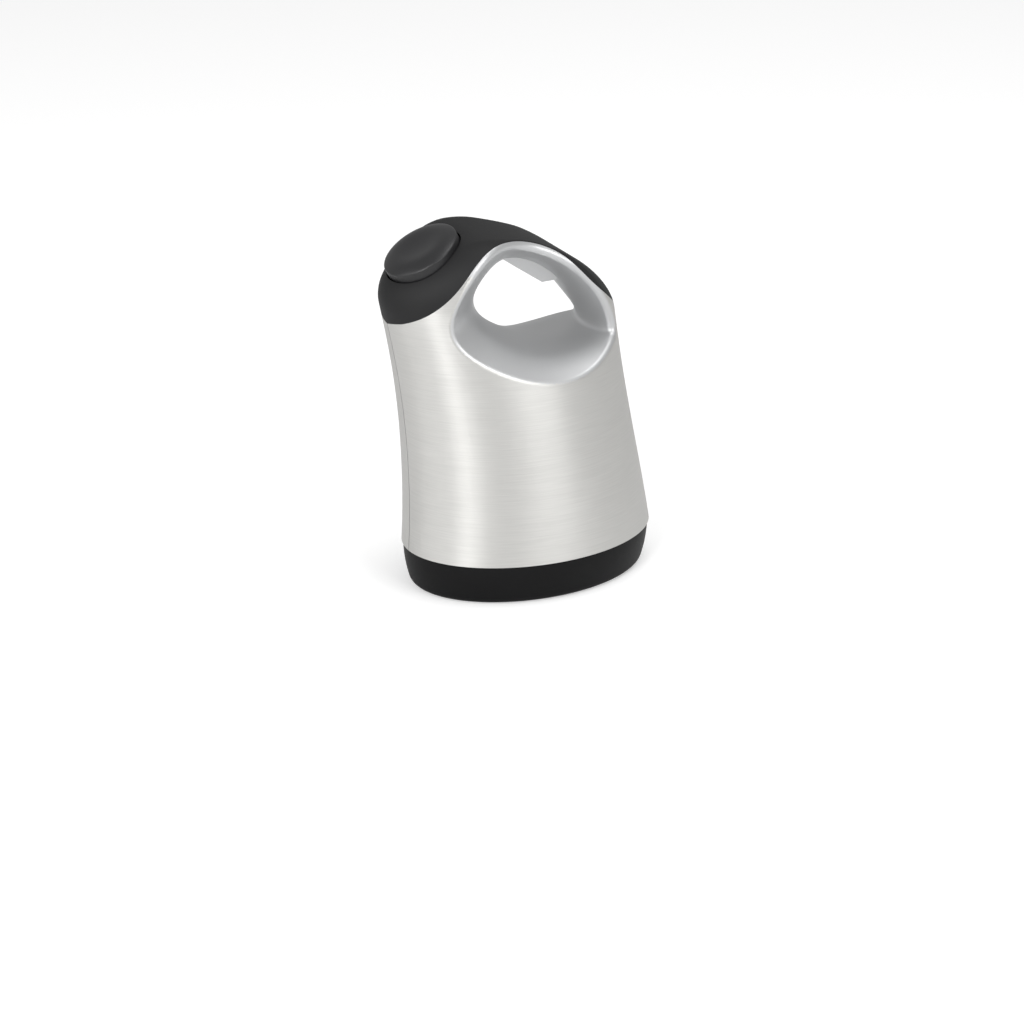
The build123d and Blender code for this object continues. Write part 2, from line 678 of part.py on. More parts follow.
with BuildPart() as switch_body:
    with BuildSketch(seat.offset(-BOARD_TOP)):
        Rectangle(SWITCH_SIZE, SWITCH_SIZE)
        Circle(PLUNGER_RADIUS + RUN_GAP, mode=Mode.SUBTRACT)
    extrude(amount=SWITCH_HEIGHT)

with BuildPart() as switch_board:
    with BuildSketch(seat.offset(-BOARD_TOP - BOARD)):
        with Locations((BOARD_SHIFT, 0)):
            Rectangle(BOARD_LENGTH, BOARD_WIDTH)
    extrude(amount=BOARD)
    for side in (-1, 1):
        add(turned(board_screw_axis(side), (BOARD_SCREW, -BOARD_TOP - BOARD, -BOARD_TOP)),
            mode=Mode.SUBTRACT)

with BuildPart() as board_screws:
    for side in (-1, 1):
        add(turned(board_screw_axis(side), (BOARD_SCREW, -BOARD_TOP - BOARD - LEDGE, -BOARD_TOP),
                   (BOARD_HEAD, -BOARD_TOP, -BOARD_TOP + HEAD_HEIGHT)))
        add(cross_slot(board_screw_axis(side), -BOARD_TOP + HEAD_HEIGHT - SLOT_DEPTH, BOARD_HEAD),
            mode=Mode.SUBTRACT)

with BuildPart() as button_spring:
    add(coil(seat, SPRING_RADIUS, SPRING_WIRE, -BOARD_TOP, -BUTTON_UNDER, SPRING_TURNS))

# Base
with BuildPart() as gear_room:
    add(base_form(WALL, BASE_FLOOR))
    add(mouth_form(WALL, 0, DECK_TOP), mode=Mode.SUBTRACT)

with BuildPart() as base_housing:
    add(base_form(0, 0))
    fillet(base_housing.edges().sort_by(Axis.Z)[0], BASE_ROUND)
    add(gear_room.part, mode=Mode.SUBTRACT)
    for draw_in, low, high in ((LIP_INSET - LIP, BASE_HEIGHT - LIP_ROOT, BASE_HEIGHT),
                               (LIP_INSET, BASE_HEIGHT - LIP_ROOT, BASE_HEIGHT + LIP_HEIGHT)):
        with BuildSketch(Plane.XY.offset(low)):
            Ellipse(SEAM_LENGTH / 2 - draw_in, SEAM_DEPTH / 2 - draw_in)
            Ellipse(SEAM_LENGTH / 2 - LIP_INSET - LIP, SEAM_DEPTH / 2 - LIP_INSET - LIP, mode=Mode.SUBTRACT)
        extrude(amount=high - low)
    for x, y in POSTS:
        add(turned(upright(x, y), (POST_RADIUS, BASE_FLOOR, PLATE_LOW)))
    for x, y in BASE_SCREWS:
        add(turned(upright(x, y), (BASE_BOSS, 0, BASE_HEIGHT)))
    for axis in (first_axis, second_axis):
        add(turned(axis, (POST_RADIUS, MOUTH_HEIGHT, DECK_TOP + GEAR_LIFT - THRUST_GAP)))
    add(mouth_form(0, -FAR, MOUTH_HEIGHT), mode=Mode.SUBTRACT)
    for x, y in POSTS:
        add(turned(upright(x, y), (SCREW_RADIUS, PLATE_LOW - PLATE_SCREW, PLATE_LOW)), mode=Mode.SUBTRACT)
    for x, y in BASE_SCREWS:
        add(turned(upright(x, y), (HEAD_RADIUS + HEAD_GAP, -FAR, BASE_RECESS),
                   (SCREW_RADIUS, 0, BASE_HEIGHT)), mode=Mode.SUBTRACT)
    for axis in (first_axis, second_axis):
        add(turned(axis, (ARBOR_RADIUS, MOUTH_HEIGHT + THRUST_GAP, FAR)), mode=Mode.SUBTRACT)
    add(turned(drive_axis, (DRIVE_SHAFT + RUN_GAP + BUSH_WALL, 0, DECK_TOP)), mode=Mode.SUBTRACT)
    add(turned(upright(*ARM_PIVOT), (ARM_SHAFT + RUN_GAP, 0, DECK_TOP)), mode=Mode.SUBTRACT)
    for x, y in GUIDES:
        add(turned(upright(x, y), (GUIDE_RADIUS, 0, DECK_TOP)), mode=Mode.SUBTRACT)

with BuildPart() as base_screws:
    for x, y in BASE_SCREWS:
        add(turned(upright(x, y), (HEAD_RADIUS, BASE_RECESS - HEAD_HEIGHT, BASE_RECESS),
                   (SCREW_RADIUS, BASE_RECESS, BASE_BOSS_TOP - HEAD_GAP)))
        add(cross_slot(upright(x, y), BASE_RECESS - HEAD_HEIGHT, HEAD_RADIUS), mode=Mode.SUBTRACT)

with BuildPart() as rim_guides:
    for x, y in GUIDES:
        add(turned(upright(x, y), (GUIDE_RADIUS, GUIDE_LOW, DECK_TOP)))

with BuildPart() as lid_magnet:
    add(turned(upright(*MAGNET_PLACE), (MAGNET_RADIUS, MAGNET_FACE, MOUTH_HEIGHT - MAGNET_CUP)))

with BuildPart() as magnet_cup:
    add(turned(upright(*MAGNET_PLACE), (MAGNET_RADIUS + MAGNET_CUP, MAGNET_FACE, MOUTH_HEIGHT)))
    add(lid_magnet.part, mode=Mode.SUBTRACT)

# Gear train
with BuildPart() as gear_plate:
    with BuildSketch(Plane.XY.offset(PLATE_LOW)):
        for x, y in POSTS:
            with Locations((x, y)):
                Circle(PLATE_RIM)
        with Locations((0, DRIVE_Y)):
            Circle(PLATE_RIM + BUSH_WALL)
        make_hull()
    extrude(amount=PLATE)
    for x, y in POSTS:
        add(turned(upright(x, y), (SCREW_RADIUS, PLATE_LOW, PLATE_TOP)), mode=Mode.SUBTRACT)
    for axis, radius in ((first_axis, ARBOR_RADIUS), (second_axis, ARBOR_RADIUS), (motor_axis, MOTOR_BOSS),
                         (drive_axis, DRIVE_SHAFT + RUN_GAP + BUSH_WALL)):
        add(turned(axis, (radius, PLATE_LOW, PLATE_TOP)), mode=Mode.SUBTRACT)
    add(motor_screw_pair(), mode=Mode.SUBTRACT)

with BuildPart() as plate_screws:
    for x, y in POSTS:
        add(turned(upright(x, y), (SCREW_RADIUS, PLATE_LOW - PLATE_SCREW, PLATE_TOP),
                   (HEAD_RADIUS, PLATE_TOP, PLATE_TOP + HEAD_HEIGHT)))
        add(cross_slot(upright(x, y), PLATE_TOP + HEAD_HEIGHT - SLOT_DEPTH, HEAD_RADIUS), mode=Mode.SUBTRACT)

with BuildPart() as gear_arbors:
    for axis in (first_axis, second_axis):
        add(turned(axis, (ARBOR_RADIUS, MOUTH_HEIGHT + THRUST_GAP, PLATE_TOP)))

with BuildPart() as first_gear:
    add(gear(first_axis, FIRST_TEETH, FIRST_MODULE, first_phase, UPPER_GEARS, UPPER_GEARS + GEAR_FACE))
    add(gear(first_axis, PINION_TEETH, SECOND_MODULE, first_small_phase, LOWER_GEARS, UPPER_GEARS))
    add(turned(first_axis, (ARBOR_RADIUS + RUN_GAP, 0, FAR)), mode=Mode.SUBTRACT)

with BuildPart() as second_gear:
    add(gear(second_axis, SECOND_TEETH, SECOND_MODULE, second_phase, LOWER_GEARS, LOWER_GEARS + GEAR_FACE))
    add(gear(second_axis, PINION_TEETH, DRIVE_MODULE, second_small_phase,
             LOWER_GEARS + GEAR_FACE, UPPER_GEARS + GEAR_FACE))
    add(turned(second_axis, (ARBOR_RADIUS + RUN_GAP, 0, FAR)), mode=Mode.SUBTRACT)

with BuildPart() as drive_gear:
    add(gear(drive_axis, DRIVE_TEETH, DRIVE_MODULE, drive_phase, UPPER_GEARS, UPPER_GEARS + GEAR_FACE))
    add(turned(drive_axis, (DRIVE_SHAFT, 0, FAR)), mode=Mode.SUBTRACT)

with BuildPart() as drive_shaft:
    add(turned(drive_axis, (DRIVE_THREAD, DRIVE_LOW - NUT, DRIVE_LOW), (DRIVE_SHAFT, DRIVE_LOW, DRIVE_TOP)))

with BuildPart() as lower_bush:
    add(turned(drive_axis, (DRIVE_SHAFT + RUN_GAP + BUSH_WALL, MOUTH_HEIGHT, LOWER_GEARS - THRUST_GAP)))
    add(turned(drive_axis, (DRIVE_SHAFT + RUN_GAP, 0, FAR)), mode=Mode.SUBTRACT)

with BuildPart() as upper_bush:
    add(turned(drive_axis, (DRIVE_SHAFT + RUN_GAP + BUSH_WALL, PLATE_LOW, DRIVE_TOP)))
    add(turned(drive_axis, (DRIVE_SHAFT + RUN_GAP, 0, FAR)), mode=Mode.SUBTRACT)

# Drive wheel and cutter
with BuildPart() as drive_wheel:
    with BuildSketch(Plane(origin=(0, DRIVE_Y, DRIVE_LOW))):
        Circle(DRIVE_RADIUS)
        with PolarLocations(DRIVE_RADIUS, DRIVE_NOTCHES):
            Rectangle(DRIVE_NOTCH, DRIVE_NOTCH, rotation=45, mode=Mode.SUBTRACT)
    extrude(amount=DRIVE_FACE)
    add(turned(drive_axis, (DRIVE_SHAFT + BUSH_WALL, DRIVE_LOW + DRIVE_FACE, MOUTH_HEIGHT - THRUST_GAP)))
    add(turned(drive_axis, (DRIVE_SHAFT, 0, FAR)), mode=Mode.SUBTRACT)

with BuildPart() as drive_nut:
    with BuildSketch(Plane(origin=(0, DRIVE_Y, DRIVE_LOW - NUT))):
        RegularPolygon(NUT_RADIUS, 6)
        Circle(DRIVE_THREAD, mode=Mode.SUBTRACT)
    extrude(amount=NUT)

with BuildPart() as cutter_arm:
    with BuildSketch(Plane.XY.offset(ARM_LOW)):
        for place in (ARM_PIVOT, cutter_place):
            with Locations(place):
                Circle(ARM_END)
        make_hull()
    extrude(amount=ARM)
    add(turned(upright(*ARM_PIVOT), (ARM_SHAFT, 0, FAR)), mode=Mode.SUBTRACT)
    add(turned(upright(*cutter_place), (CUTTER_AXLE, 0, FAR)), mode=Mode.SUBTRACT)

with BuildPart() as arm_shaft:
    add(turned(upright(*ARM_PIVOT), (ARM_SHAFT + ARM_HEAD, ARM_LOW - ARM_HEAD, ARM_LOW),
               (ARM_SHAFT, ARM_LOW, FRICTION_LOW),
               (ARM_SHAFT + ARM_HEAD, ARM_LOW + ARM, MOUTH_HEIGHT - THRUST_GAP)))

with BuildPart() as friction_disc:
    add(turned(upright(*ARM_PIVOT), (FRICTION_RADIUS, FRICTION_LOW, LOWER_GEARS - FRICTION_GAP)))

with BuildPart() as cutter_axle:
    add(turned(upright(*cutter_place),
               (CUTTER_AXLE + ARM_HEAD, CUTTER_LOW - THRUST_GAP - AXLE_HEAD, CUTTER_LOW - THRUST_GAP),
               (CUTTER_AXLE, CUTTER_LOW - THRUST_GAP, ARM_LOW + ARM),
               (CUTTER_AXLE + AXLE_HEAD, CUTTER_LOW + CUTTER_FACE + THRUST_GAP, ARM_LOW),
               (CUTTER_AXLE + ARM_HEAD, ARM_LOW + ARM, ARM_LOW + ARM + AXLE_HEAD)))

with BuildPart() as cutter_wheel:
    add(turned(upright(*cutter_place), (CUTTER_RADIUS, CUTTER_LOW, CUTTER_LOW + CUTTER_FACE)))
    rim = cutter_wheel.edges().sort_by(Axis.Z)[0]
    side = cutter_wheel.faces().filter_by(GeomType.CYLINDER)[0]
    chamfer(rim, CUTTER_FACE - CUTTER_EDGE, CUTTER_BEVEL, reference=side)
    add(turned(upright(*cutter_place), (CUTTER_AXLE + RUN_GAP, 0, FAR)), mode=Mode.SUBTRACT)

# Motor and batteries
with BuildPart() as motor_case:
    with BuildSketch(motor_axis.offset(PLATE_TOP)):
        Circle(MOTOR_RADIUS)
        Rectangle(2 * MOTOR_RADIUS, MOTOR_FLATS, mode=Mode.INTERSECT)
    extrude(amount=MOTOR_LENGTH)
    add(turned(motor_axis, (MOTOR_BOSS, PLATE_LOW, PLATE_TOP),
               (MOTOR_CAP, PLATE_TOP + MOTOR_LENGTH, PLATE_TOP + MOTOR_LENGTH + MOTOR_CAP_HEIGHT)))
    add(turned(motor_axis, (MOTOR_SHAFT + RUN_GAP, 0, PLATE_TOP + MOTOR_BEARING)), mode=Mode.SUBTRACT)
    add(motor_screw_pair(), mode=Mode.SUBTRACT)

with BuildPart() as motor_screws:
    add(motor_screw_pair())

with BuildPart() as motor_shaft:
    add(turned(motor_axis, (MOTOR_SHAFT, UPPER_GEARS, PLATE_TOP + MOTOR_BEARING - THRUST_GAP)))

with BuildPart() as motor_pinion:
    add(gear(motor_axis, PINION_TEETH, FIRST_MODULE, motor_phase, UPPER_GEARS, UPPER_GEARS + GEAR_FACE))
    add(motor_shaft.part, mode=Mode.SUBTRACT)

with BuildPart() as battery_tray:
    for low in (TRAY_LOW, TRAY_TOP - TRAY):
        with BuildSketch(Plane.XY.offset(low)):
            for x in cell_places:
                with Locations((x, PACK_Y)):
                    Circle(CELL_RADIUS + CELL_GAP)
            make_hull()
            with Locations((PACK_X, PACK_Y)):
                Rectangle(tray_wall, CELL_RADIUS + CELL_GAP + TRAY, align=(Align.CENTER, Align.MAX))
        extrude(amount=TRAY)
    with Locations((PACK_X, PACK_Y - CELL_RADIUS - CELL_GAP, TRAY_LOW)):
        Box(tray_wall, TRAY, TRAY_TOP - TRAY_LOW, align=(Align.CENTER, Align.MAX, Align.MIN))
    with Locations(*[(PACK_X + x, PACK_Y + y, PLATE_TOP) for x, y in TRAY_FEET_PLACES]):
        Cylinder(TRAY_FOOT, TRAY_FEET, align=(Align.CENTER, Align.CENTER, Align.MIN))

with BuildPart() as battery_cells:
    for x, end in zip(cell_places, cell_ends):
        low = TRAY_LOW + TRAY + (CONTACT_SPRING if end > 0 else CONTACT)
        if end > 0:
            add(turned(upright(x, PACK_Y), (CELL_RADIUS, low, low + CELL_LENGTH - NUB),
                       (NUB_RADIUS, low + CELL_LENGTH - NUB, low + CELL_LENGTH)))
        else:
            add(turned(upright(x, PACK_Y), (NUB_RADIUS, low, low + NUB),
                       (CELL_RADIUS, low + NUB, low + CELL_LENGTH)))

with BuildPart() as contact_strips:
    for x, end in zip(cell_places, cell_ends):
        low = TRAY_TOP - TRAY - CONTACT if end > 0 else TRAY_LOW + TRAY
        with Locations((x, PACK_Y, low)):
            Box(2 * CONTACT_RADIUS, 2 * CONTACT_RADIUS, CONTACT,
                align=(Align.CENTER, Align.CENTER, Align.MIN))

with BuildPart() as contact_springs:
    for x, end in zip(cell_places, cell_ends):
        low = TRAY_LOW + TRAY if end > 0 else TRAY_TOP - TRAY - CONTACT_SPRING
        add(coil(upright(x, PACK_Y), CONTACT_RADIUS, CONTACT_WIRE, low, low + CONTACT_SPRING, CONTACT_TURNS))

pieces = {
    "front_shell": front_shell, "rear_shell": rear_shell, "top_cap": top_cap, "finger_rest": finger_rest,
    "battery_door": battery_door, "housing_screws": housing_screws, "start_button": start_button,
    "switch_plunger": switch_plunger, "switch_body": switch_body, "switch_board": switch_board,
    "board_screws": board_screws, "button_spring": button_spring, "base_housing": base_housing,
    "base_screws": base_screws, "rim_guides": rim_guides, "lid_magnet": lid_magnet, "magnet_cup": magnet_cup,
    "gear_plate": gear_plate, "plate_screws": plate_screws, "gear_arbors": gear_arbors,
    "first_gear": first_gear, "second_gear": second_gear, "drive_gear": drive_gear,
    "drive_shaft": drive_shaft, "lower_bush": lower_bush, "upper_bush": upper_bush,
    "drive_wheel": drive_wheel, "drive_nut": drive_nut,
    "cutter_arm": cutter_arm, "arm_shaft": arm_shaft, "friction_disc": friction_disc,
    "cutter_axle": cutter_axle, "cutter_wheel": cutter_wheel, "motor_case": motor_case,
    "motor_screws": motor_screws, "motor_shaft": motor_shaft, "motor_pinion": motor_pinion,
    "battery_tray": battery_tray, "battery_cells": battery_cells, "contact_strips": contact_strips,
    "contact_springs": contact_springs,
}
os.makedirs("parts", exist_ok=True)
for name, piece in pieces.items():
    piece.part.label = name
    export_step(piece.part, f"parts/{name}.step")
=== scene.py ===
"""Looks of a cordless can opener: finishes, small details, studio and camera around its frame."""

import json
import logging
import math
from dataclasses import dataclass, field
from enum import Enum

import bpy
from mathutils import Matrix, Vector


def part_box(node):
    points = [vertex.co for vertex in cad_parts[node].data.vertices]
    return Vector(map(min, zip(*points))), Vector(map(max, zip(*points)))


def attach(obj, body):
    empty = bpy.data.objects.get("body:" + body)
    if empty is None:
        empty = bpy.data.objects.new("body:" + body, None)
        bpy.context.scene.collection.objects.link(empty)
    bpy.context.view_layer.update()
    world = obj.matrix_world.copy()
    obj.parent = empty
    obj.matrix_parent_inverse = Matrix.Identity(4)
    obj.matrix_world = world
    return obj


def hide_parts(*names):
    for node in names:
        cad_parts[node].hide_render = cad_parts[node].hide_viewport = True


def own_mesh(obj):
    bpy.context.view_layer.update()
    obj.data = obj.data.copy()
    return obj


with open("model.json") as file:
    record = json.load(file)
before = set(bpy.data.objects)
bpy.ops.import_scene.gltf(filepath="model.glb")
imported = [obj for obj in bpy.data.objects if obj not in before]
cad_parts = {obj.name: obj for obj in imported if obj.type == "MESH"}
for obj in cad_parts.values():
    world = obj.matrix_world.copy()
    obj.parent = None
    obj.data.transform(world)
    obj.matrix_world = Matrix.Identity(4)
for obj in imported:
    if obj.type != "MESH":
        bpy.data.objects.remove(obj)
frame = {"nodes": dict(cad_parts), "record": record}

log = logging.getLogger("can_opener")

Colour = tuple[float, float, float]
Point = tuple[float, float, float]
Socket = bpy.types.NodeSocket

WHITE = (1.0, 1.0, 1.0, 1.0)

# Most of a noise pattern lies between these two values.
NOISE_LOW = 0.3
NOISE_HIGH = 0.7

# A mix node names its sockets alike for numbers, vectors and colours, so the colour ones go by number.
MIX_FIRST = 6
MIX_SECOND = 7
MIX_RESULT = 2

# Length of a line of the grain over its width.
BRUSHED_STRETCH = 40.0
GROUND_STRETCH = 30.0

# Octaves of finer noise in the patterns.
GRAIN_DETAIL = 2.0
CAST_DETAIL = 4.0
PATCH_DETAIL = 3.0

# A quarter turn lays the stretched highlight across the level brush lines.
HIGHLIGHT_TURN = 0.25

# Rays that look for an edge to soften.
EDGE_SAMPLES = 6


class Grain(Enum):
    """Surface patterns that a finish can carry."""

    BRUSHED = "short level lines"
    TURNED = "rings around the upright axis through the origin"
    GROUND = "fine lines along X"
    MOULDED = "fine even pebbling"
    CAST = "coarser uneven skin"


class Sheet:
    """Shorthand for adding and linking the nodes of one material."""

    def __init__(self, name: str) -> None:
        """Start an empty sheet of nodes.

        Args:
            name: Name of the new material.
        """
        self.material = bpy.data.materials.new(name)
        self.material.use_nodes = True
        self.tree = self.material.node_tree
        self.tree.nodes.clear()

    def add(self, kind: str, **settings: object) -> bpy.types.Node:
        """Add a node.

        Args:
            kind: Type of the node.
            **settings: Attributes of the node, by name.

        Returns:
            The new node.
        """
        node = self.tree.nodes.new(kind)
        for key, value in settings.items():
            setattr(node, key, value)
        return node

    def join(self, source: Socket, target: Socket) -> None:
        """Link two sockets."""
        self.tree.links.new(source, target)

    def noise(self, vector: Socket, scale: float, detail: float) -> Socket:
        """Add a noise pattern.

        Args:
            vector: Coordinates to read.
            scale: Cells per unit.
            detail: Octaves of finer noise.

        Returns:
            Noise factor, about 0.5 on average.
        """
        node = self.add("ShaderNodeTexNoise")
        node.inputs["Scale"].default_value = scale
        node.inputs["Detail"].default_value = detail
        self.join(vector, node.inputs["Vector"])
        return node.outputs["Fac"]

    def spread(self, value: Socket, low: float, high: float) -> Socket:
        """Map the usual range of a noise factor to two ends.

        Args:
            value: Noise factor.
            low: Result at the usual lowest factor.
            high: Result at the usual highest factor.

        Returns:
            Mapped value.
        """
        node = self.add("ShaderNodeMapRange")
        node.inputs["From Min"].default_value = NOISE_LOW
        node.inputs["From Max"].default_value = NOISE_HIGH
        node.inputs["To Min"].default_value = low
        node.inputs["To Max"].default_value = high
        self.join(value, node.inputs["Value"])
        return node.outputs["Result"]

    def blend(self, factor: Socket, first: Colour, second: Colour) -> Socket:
        """Mix two colours.

        Args:
            factor: 0 gives the first colour and 1 the second.
            first: Linear colour.
            second: Linear colour.

        Returns:
            Mixed colour.
        """
        node = self.add("ShaderNodeMix", data_type="RGBA")
        node.inputs[MIX_FIRST].default_value = (*first, 1.0)
        node.inputs[MIX_SECOND].default_value = (*second, 1.0)
        self.join(factor, node.inputs["Factor"])
        return node.outputs[MIX_RESULT]

    def share(self, value: Socket, factor: float) -> Socket:
        """Multiply a value by a number.

        Args:
            value: Value.
            factor: Number.

        Returns:
            Their product.
        """
        node = self.add("ShaderNodeMath", operation="MULTIPLY")
        node.inputs[1].default_value = factor
        self.join(value, node.inputs[0])
        return node.outputs[0]


@dataclass(frozen=True)
class Finish:
    """One surface finish, made as a material of procedural nodes.

    Sizes are in metres on the object, and colours are linear.
    """

    name: str
    colour: Colour
    roughness: float
    grain: Grain
    grain_size: float
    metallic: float = 0.0
    relief: float = 0.12
    rough_spread: float = 0.05
    tone_spread: float = 0.05
    streak_spread: float = 0.03
    patch_size: float = 0.02
    specular: float = 0.5
    anisotropy: float = 0.0
    soft_edge: float = 0.0

    def stretch(self) -> Point:
        """Work out how fine the grain is along each axis.

        Returns:
            Cells of the grain per metre along X, Y and Z.
        """
        fine = 1.0 / self.grain_size
        if self.grain is Grain.BRUSHED:
            return (fine / BRUSHED_STRETCH, fine / BRUSHED_STRETCH, fine)
        if self.grain is Grain.GROUND:
            return (fine / GROUND_STRETCH, fine, fine)
        return (fine, fine, fine)

    def grain_value(self, sheet: Sheet, place: Socket) -> Socket:
        """Add the grain's pattern.

        Args:
            sheet: Nodes of the material.
            place: Object coordinates.

        Returns:
            Noise factor of the grain.
        """
        if self.grain is not Grain.TURNED:
            mapping = sheet.add("ShaderNodeMapping", vector_type="POINT")
            mapping.inputs["Scale"].default_value = self.stretch()
            sheet.join(place, mapping.inputs["Vector"])
            detail = CAST_DETAIL if self.grain is Grain.CAST else GRAIN_DETAIL
            return sheet.noise(mapping.outputs["Vector"], 1.0, detail)
        apart = sheet.add("ShaderNodeSeparateXYZ")
        sheet.join(place, apart.inputs["Vector"])
        level = sheet.add("ShaderNodeCombineXYZ")
        sheet.join(apart.outputs["X"], level.inputs["X"])
        sheet.join(apart.outputs["Y"], level.inputs["Y"])
        radius = sheet.add("ShaderNodeVectorMath", operation="LENGTH")
        sheet.join(level.outputs["Vector"], radius.inputs[0])
        rings = sheet.add("ShaderNodeCombineXYZ")
        sheet.join(radius.outputs["Value"], rings.inputs["X"])
        sheet.join(apart.outputs["Z"], rings.inputs["Y"])
        return sheet.noise(rings.outputs["Vector"], 1.0 / self.grain_size, GRAIN_DETAIL)

    def tone(self, sheet: Sheet, place: Socket) -> Socket:
        """Vary the colour a little from place to place.

        Args:
            sheet: Nodes of the material.
            place: Object coordinates.

        Returns:
            Colour of the surface.
        """
        patches = sheet.noise(place, 1.0 / self.patch_size, PATCH_DETAIL)
        dark = tuple(value * (1.0 - self.tone_spread) for value in self.colour)
        light = tuple(min(value * (1.0 + self.tone_spread), 1.0) for value in self.colour)
        return sheet.blend(sheet.spread(patches, 0.0, 1.0), dark, light)

    def make(self) -> bpy.types.Material:
        """Build the material.

        Returns:
            Material whose colour, roughness and relief come from its nodes.
        """
        sheet = Sheet(self.name)
        output = sheet.add("ShaderNodeOutputMaterial")
        shader = sheet.add("ShaderNodeBsdfPrincipled")
        sheet.join(shader.outputs["BSDF"], output.inputs["Surface"])
        place = sheet.add("ShaderNodeTexCoord").outputs["Object"]
        grain = self.grain_value(sheet, place)
        tint = sheet.add("ShaderNodeVectorMath", operation="SCALE")
        sheet.join(self.tone(sheet, place), tint.inputs[0])
        streaks = sheet.spread(grain, 1.0 - self.streak_spread, 1.0 + self.streak_spread)
        sheet.join(streaks, tint.inputs["Scale"])
        sheet.join(tint.outputs["Vector"], shader.inputs["Base Color"])
        smoothest = self.roughness - self.rough_spread
        roughest = self.roughness + self.rough_spread
        sheet.join(sheet.spread(grain, smoothest, roughest), shader.inputs["Roughness"])
        bump = sheet.add("ShaderNodeBump")
        bump.inputs["Strength"].default_value = self.relief
        bump.inputs["Distance"].default_value = self.grain_size
        sheet.join(grain, bump.inputs["Height"])
        if self.soft_edge > 0.0:
            edge = sheet.add("ShaderNodeBevel", samples=EDGE_SAMPLES)
            edge.inputs["Radius"].default_value = self.soft_edge
            sheet.join(edge.outputs["Normal"], bump.inputs["Normal"])
        sheet.join(bump.outputs["Normal"], shader.inputs["Normal"])
        shader.inputs["Anisotropic"].default_value = self.anisotropy
        shader.inputs["Anisotropic Rotation"].default_value = HIGHLIGHT_TURN
        shader.inputs["Metallic"].default_value = self.metallic
        shader.inputs["Specular IOR Level"].default_value = self.specular
        return sheet.material


@dataclass(frozen=True)
class Palette:
    """Finish of each material slot of the record, and of the smooth dish in the brushed shells."""

    silver_shell: Finish = Finish(
        "brushed_silver", (0.635, 0.63, 0.61), 0.42, Grain.BRUSHED, 0.0003, metallic=0.85, relief=0.10,
        streak_spread=0.045, tone_spread=0.015, anisotropy=0.75)
    silver_dish: Finish = Finish(
        "dish_silver", (0.60, 0.605, 0.61), 0.42, Grain.MOULDED, 0.0002, metallic=0.85, relief=0.04,
        tone_spread=0.015, streak_spread=0.01)
    # Darker than the shell's silver as painted shade: the finger rest sits in shadow under the arch, and
    # the door ridges share this material.
    silver_smooth: Finish = Finish(
        "smooth_silver_painted_shade", (0.52, 0.525, 0.53), 0.42, Grain.MOULDED, 0.0002, metallic=0.85, relief=0.04,
        tone_spread=0.02, streak_spread=0.01)
    soft_black: Finish = Finish(
        "soft_touch_black", (0.012, 0.012, 0.0125), 0.60, Grain.MOULDED, 0.00018, relief=0.10,
        specular=0.26, tone_spread=0.10)
    button_black: Finish = Finish(
        "button_black", (0.014, 0.014, 0.015), 0.38, Grain.MOULDED, 0.00022, relief=0.05,
        tone_spread=0.10)
    base_black: Finish = Finish(
        "base_black", (0.004, 0.004, 0.0043), 0.46, Grain.MOULDED, 0.0003, relief=0.10, specular=0.15,
        tone_spread=0.12, soft_edge=0.0003)
    steel: Finish = Finish(
        "turned_steel", (0.56, 0.56, 0.56), 0.30, Grain.TURNED, 0.00012, metallic=1.0, relief=0.15)
    zinc_steel: Finish = Finish(
        "zinc_plate", (0.52, 0.53, 0.55), 0.38, Grain.CAST, 0.0006, metallic=1.0, tone_spread=0.12)
    hard_steel: Finish = Finish(
        "ground_steel", (0.60, 0.60, 0.61), 0.20, Grain.GROUND, 0.00010, metallic=1.0)
    brass: Finish = Finish(
        "machined_brass", (0.68, 0.47, 0.18), 0.28, Grain.TURNED, 0.00012, metallic=1.0, relief=0.15)
    gear_white: Finish = Finish(
        "natural_plastic", (0.74, 0.72, 0.65), 0.48, Grain.MOULDED, 0.0002, tone_spread=0.03)
    motor_steel: Finish = Finish(
        "drawn_steel", (0.50, 0.51, 0.52), 0.34, Grain.BRUSHED, 0.00014, metallic=1.0)
    cell_jacket: Finish = Finish(
        "cell_sleeve", (0.035, 0.042, 0.055), 0.30, Grain.BRUSHED, 0.0003, metallic=0.35, relief=0.04)
    tray_grey: Finish = Finish(
        "tray_grey", (0.045, 0.045, 0.048), 0.55, Grain.MOULDED, 0.0003)
    contact_nickel: Finish = Finish(
        "nickel", (0.62, 0.60, 0.55), 0.26, Grain.GROUND, 0.00012, metallic=1.0)
    board_green: Finish = Finish(
        "circuit_board", (0.015, 0.12, 0.045), 0.28, Grain.GROUND, 0.0004, tone_spread=0.20, relief=0.2)
    switch_black: Finish = Finish(
        "switch_black", (0.014, 0.014, 0.014), 0.45, Grain.MOULDED, 0.0002)
    friction_pad: Finish = Finish(
        "friction_pad", (0.060, 0.030, 0.022), 0.80, Grain.CAST, 0.0003, relief=0.3, tone_spread=0.25)

    def materials(self) -> dict[str, bpy.types.Material]:
        """Build every material.

        Returns:
            Materials by the names of the fields.
        """
        return {name: finish.make() for name, finish in vars(self).items()}


def start_clean() -> None:
    """Leave edit mode and deselect every object."""
    if bpy.context.object and bpy.context.object.mode != "OBJECT":
        bpy.ops.object.mode_set(mode="OBJECT")
    bpy.ops.object.select_all(action="DESELECT")


def make_active(piece: bpy.types.Object) -> None:
    """Select one object alone and make it active.

    Args:
        piece: Object to work on next.
    """
    start_clean()
    piece.select_set(True)
    bpy.context.view_layer.objects.active = piece


def coat(piece: bpy.types.Object, material: bpy.types.Material) -> None:
    """Give a piece one material all over."""
    piece.data.materials.clear()
    piece.data.materials.append(material)


